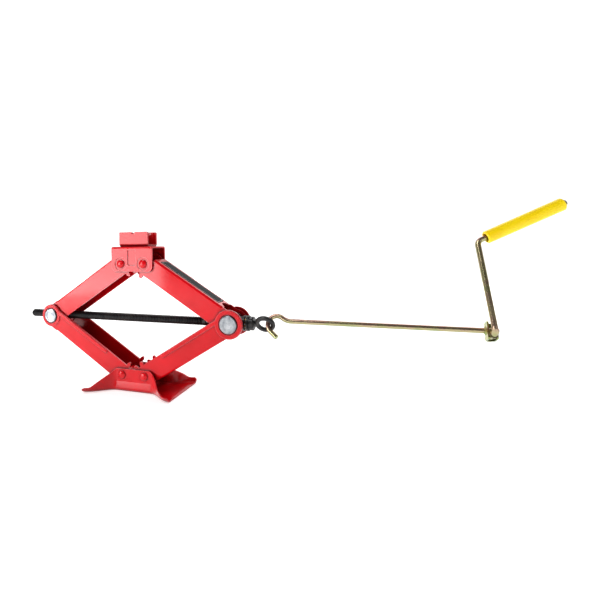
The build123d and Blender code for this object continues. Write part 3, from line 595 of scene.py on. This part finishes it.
def yellow_passivate(name, shimmer, tail=None):
    """Zinc with a chromate film of uneven depth: metal gloss whose hue drifts from patch to patch,
    with painted light shifting it from the top of the wire to its underside."""
    material, tree = new_material(name)
    place = add(tree, "ShaderNodeTexCoord").outputs["Object"]
    film = add(tree, "ShaderNodeTexNoise", {"Vector": place, "Scale": 1 / FILM_PATCH,
                                            "Detail": 3.0, "Distortion": 1.2})
    # Painted light: the colour shifts with how far the surface faces up, top against underside.
    facing = add(tree, "ShaderNodeSeparateXYZ",
                 {"Vector": add(tree, "ShaderNodeTexCoord").outputs["Normal"]})
    drift_and_painted_light = add(tree, "ShaderNodeMath", {0: facing.outputs["Z"], 1: TOP_TO_UNDERSIDE_PAINTED_LIGHT,
                                         2: film.outputs["Fac"]}, operation="MULTIPLY_ADD")
    colour = add(tree, "ShaderNodeValToRGB", {"Fac": drift_and_painted_light.outputs[0]},
                 stops=shimmer).outputs["Color"]
    if tail is not None:
        away = add(tree, "ShaderNodeVectorMath", {0: place, 1: tail}, operation="DISTANCE")
        bare = add(tree, "ShaderNodeMapRange", {"Value": away.outputs["Value"],
                                                "From Min": TAIL_BARE,
                                                "From Max": TAIL_BARE + TAIL_FADE,
                                                "To Min": 1.0, "To Max": 0.0})
        colour = add(tree, "ShaderNodeMix", {"Factor": bare.outputs["Result"], "A": colour,
                                             "B": linear(BARE_ZINC)},
                     data_type="RGBA").outputs["Result"]
    drawn = add(tree, "ShaderNodeTexNoise", {"Vector": place, "Scale": 1 / DRAWING_MARK,
                                             "Detail": 3.0})
    bump = add(tree, "ShaderNodeBump", {"Height": drawn.outputs["Fac"], "Strength": 0.12,
                                        "Distance": DRAWING_MARK_DEPTH})
    rough = add(tree, "ShaderNodeMapRange", {"Value": drawn.outputs["Fac"], "To Min": 0.16,
                                             "To Max": 0.34})
    shader = add(tree, "ShaderNodeBsdfPrincipled",
                 {"Base Color": colour, "Metallic": 0.9, "Roughness": rough.outputs["Result"],
                  "Normal": bump.outputs["Normal"], "Specular IOR Level": 0.5})
    add(tree, "ShaderNodeOutputMaterial", {"Surface": shader.outputs["BSDF"]})
    return material


def polished_zinc():
    """Plating rubbed bright on the wire's formed end: nearly white, almost a mirror."""
    material, tree = new_material("polished_zinc")
    place = add(tree, "ShaderNodeTexCoord").outputs["Object"]
    haze = add(tree, "ShaderNodeTexNoise", {"Vector": place, "Scale": 1 / RUBBED_PATCH,
                                            "Detail": 3.0})
    colour = add(tree, "ShaderNodeValToRGB", {"Fac": haze.outputs["Fac"]},
                 stops=[(0.35, RUBBED_DARK), (0.65, RUBBED_LIGHT)])
    rough = add(tree, "ShaderNodeMapRange", {"Value": haze.outputs["Fac"], "To Min": 0.08,
                                             "To Max": 0.2})
    shader = add(tree, "ShaderNodeBsdfPrincipled",
                 {"Base Color": colour.outputs["Color"], "Metallic": 1.0,
                  "Roughness": rough.outputs["Result"]})
    add(tree, "ShaderNodeOutputMaterial", {"Surface": shader.outputs["BSDF"]})
    return material


fold = joints["crank_fold"]
arm = frame["nodes"]["crank_arm"].data.vertices
fold_place, fold_axis = Vector(fold["pos_m"]), Vector(fold["axis"])
tail_reach = min((vertex.co - fold_place).dot(fold_axis) for vertex in arm)
dress(["crank_rod"], yellow_passivate("passivated_wire", WIRE_SHIMMER))
dress(["crank_arm"], yellow_passivate("passivated_arm", WIRE_SHIMMER,
                                      fold_place + fold_axis * tail_reach))
dress(["crank_clip", "crank_weld"], yellow_passivate("passivated_clip", CLIP_SHIMMER))
dress(["grip_cap"], polished_zinc())


# ------------------------------------------------------------------ grip
# A tube of low-density polyethylene, coloured yellow in the mass and drawn off a straight mould,
# that turns on the bare end of the arm. It is smooth and waxy, with long faint mould marks.
GRIP_YELLOW = "#ffe212"
GRIP_SHADE = "#fcd60a"
MOULD_MARK_WIDTH = 0.003
MOULD_MARK_LENGTH = 0.07
MOULD_MARK_DEPTH = 0.0002
GRIP_CLOUD = 0.022
POLYETHYLENE_IOR = 1.51


def yellow_plastic(along, middle):
    """Polyethylene coloured in the mass: an even strong yellow with a broad soft highlight."""
    material, tree = new_material("yellow_plastic")
    place = add(tree, "ShaderNodeTexCoord").outputs["Object"]
    turn = Vector((0.0, 0.0, 1.0)).rotation_difference(along).inverted().to_euler()
    centred = add(tree, "ShaderNodeVectorMath", {0: place, 1: middle}, operation="SUBTRACT")
    upright = add(tree, "ShaderNodeMapping", {"Vector": centred.outputs["Vector"],
                                              "Rotation": turn})
    drawn = add(tree, "ShaderNodeMapping", {"Vector": upright.outputs["Vector"],
                                            "Scale": (1 / MOULD_MARK_WIDTH,
                                                      1 / MOULD_MARK_WIDTH,
                                                      1 / MOULD_MARK_LENGTH)})
    marks = add(tree, "ShaderNodeTexNoise", {"Vector": drawn.outputs["Vector"], "Scale": 1.0,
                                             "Detail": 2.0})
    cloud = add(tree, "ShaderNodeTexNoise", {"Vector": place, "Scale": 1 / GRIP_CLOUD,
                                             "Detail": 2.0})
    tone = add(tree, "ShaderNodeMath", {0: marks.outputs["Fac"], 1: 0.45,
                                        2: cloud.outputs["Fac"]}, operation="MULTIPLY_ADD")
    colour = add(tree, "ShaderNodeValToRGB", {"Fac": tone.outputs[0]},
                 stops=[(0.45, GRIP_SHADE), (0.9, GRIP_YELLOW)])
    bump = add(tree, "ShaderNodeBump", {"Height": marks.outputs["Fac"], "Strength": 0.2,
                                        "Distance": MOULD_MARK_DEPTH})
    rough = add(tree, "ShaderNodeMapRange", {"Value": cloud.outputs["Fac"], "To Min": 0.3,
                                             "To Max": 0.42})
    shader = add(tree, "ShaderNodeBsdfPrincipled",
                 {"Base Color": colour.outputs["Color"], "Roughness": rough.outputs["Result"],
                  "Normal": bump.outputs["Normal"], "IOR": POLYETHYLENE_IOR})
    add(tree, "ShaderNodeOutputMaterial", {"Surface": shader.outputs["BSDF"]})
    return material


grip_low, grip_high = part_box("grip")
dress(["grip"], yellow_plastic(Vector(joints["grip_spin"]["axis"]), (grip_low + grip_high) / 2))


# ------------------------------------------------------------------ studio
# A pale sweep of floor that runs into a white backdrop, soft lights, and the camera near the
# jack's right end, as a person would stand to work the crank.
FLOOR_SIZE = 5.0
FLOOR_GLOW_NEAR = 0.42
FLOOR_GLOW_FAR = 1.0
GLOW_NEAR = 0.7               # where the glow starts to grow, and where it is full
GLOW_FAR = 2.0
FLOOR_CLOUD = 0.33
FLOOR_WARM = "#f7f7f6"
FLOOR_COOL = "#fafafa"


def pale_floor():
    """Matt painted board, lit from within a little so that it meets the backdrop without a line."""
    material, tree = new_material("pale_floor")
    place = add(tree, "ShaderNodeTexCoord").outputs["Object"]
    cloud = add(tree, "ShaderNodeTexNoise", {"Vector": place, "Scale": 1 / FLOOR_CLOUD,
                                             "Detail": 2.0})
    colour = add(tree, "ShaderNodeValToRGB", {"Fac": cloud.outputs["Fac"]},
                 stops=[(0.3, FLOOR_WARM), (0.7, FLOOR_COOL)])
    reach = add(tree, "ShaderNodeVectorMath", {0: place}, operation="LENGTH")
    glow = add(tree, "ShaderNodeMapRange",
               {"Value": reach.outputs["Value"], "From Min": GLOW_NEAR, "From Max": GLOW_FAR,
                "To Min": FLOOR_GLOW_NEAR, "To Max": FLOOR_GLOW_FAR})
    shader = add(tree, "ShaderNodeBsdfPrincipled",
                 {"Base Color": colour.outputs["Color"], "Roughness": 0.6,
                  "Emission Color": (1.0, 1.0, 1.0, 1.0),
                  "Emission Strength": glow.outputs["Result"]})
    add(tree, "ShaderNodeOutputMaterial", {"Surface": shader.outputs["BSDF"]})
    return material


floor_mesh = bpy.data.meshes.new("floor")
half = FLOOR_SIZE / 2
floor_mesh.from_pydata([(-half, -half, 0), (half, -half, 0), (half, half, 0), (-half, half, 0)],
                       [], [(0, 1, 2, 3)])
floor_mesh.materials.append(pale_floor())
floor = bpy.data.objects.new("floor", floor_mesh)
bpy.context.collection.objects.link(floor)


def soft_light(name, place, aim, size, power):
    """A square soft light turned towards a point."""
    lamp = bpy.data.lights.new(name, "AREA")
    lamp.shape = "SQUARE"
    lamp.size = size
    lamp.energy = power
    light = bpy.data.objects.new(name, lamp)
    light.location = place
    light.rotation_euler = (Vector(aim) - Vector(place)).to_track_quat("-Z", "Y").to_euler()
    bpy.context.collection.objects.link(light)


middle = (cad_low + cad_high) / 2
soft_light("key_light", (-0.6, -0.8, 2.0), middle, 1.0, 14.5)
soft_light("side_light", (-1.0, -1.15, 0.36), (0.0, -0.03, 0.2), 0.7, 10.0)
soft_light("fill_light", (1.6, -1.2, 0.7), middle, 0.8, 1.6)
soft_light("back_light", (0.5, 1.6, 1.5), middle, 1.4, 7.0)

ROOM_FRONT = "#5f5f5f"        # the dim side, behind the camera
ROOM_BACK = "#f0f0f0"
world = bpy.data.worlds.new("studio")
world.use_nodes = True
world.node_tree.nodes.clear()
toward = add(world.node_tree, "ShaderNodeSeparateXYZ",
             {"Vector": add(world.node_tree, "ShaderNodeTexCoord").outputs["Generated"]})
room = add(world.node_tree, "ShaderNodeValToRGB", {"Fac": toward.outputs["Y"]},
           stops=[(0.05, ROOM_FRONT), (0.35, ROOM_BACK)])
seen = add(world.node_tree, "ShaderNodeLightPath").outputs["Is Camera Ray"]
backdrop = add(world.node_tree, "ShaderNodeMix", {"Factor": seen, "A": room.outputs["Color"],
                                                  "B": (1.0, 1.0, 1.0, 1.0)}, data_type="RGBA")
sky = add(world.node_tree, "ShaderNodeBackground", {"Color": backdrop.outputs["Result"],
                                                    "Strength": 1.0})
add(world.node_tree, "ShaderNodeOutputWorld", {"Surface": sky.outputs["Background"]})
bpy.context.scene.world = world
bpy.context.scene.view_settings.view_transform = "Standard"
bpy.context.scene.view_settings.look = "Medium High Contrast"

CAMERA_PLACE = (0.3977, -0.5976, 0.2412)
CAMERA_TURN = 18.48           # degrees to the left of straight on
CAMERA_TILT = -2.17
CAMERA_ROLL = 0.58
CAMERA_LENS = 23.76
CAMERA_SENSOR = 36.0
CAMERA_SHIFT = (0.09, -0.058)
CAMERA_CLIP = 0.01
lens = bpy.data.cameras.new("camera")
lens.lens = CAMERA_LENS
lens.sensor_width = CAMERA_SENSOR
lens.shift_x, lens.shift_y = CAMERA_SHIFT
lens.clip_start = CAMERA_CLIP
camera = bpy.data.objects.new("camera", lens)
camera.location = CAMERA_PLACE
aim = Matrix.Rotation(math.radians(CAMERA_TURN), 4, "Z")
aim = aim @ Matrix.Rotation(math.radians(90 + CAMERA_TILT), 4, "X")
aim = aim @ Matrix.Rotation(math.radians(-CAMERA_ROLL), 4, "Z")
camera.rotation_euler = aim.to_euler()
bpy.context.collection.objects.link(camera)
bpy.context.scene.camera = camera
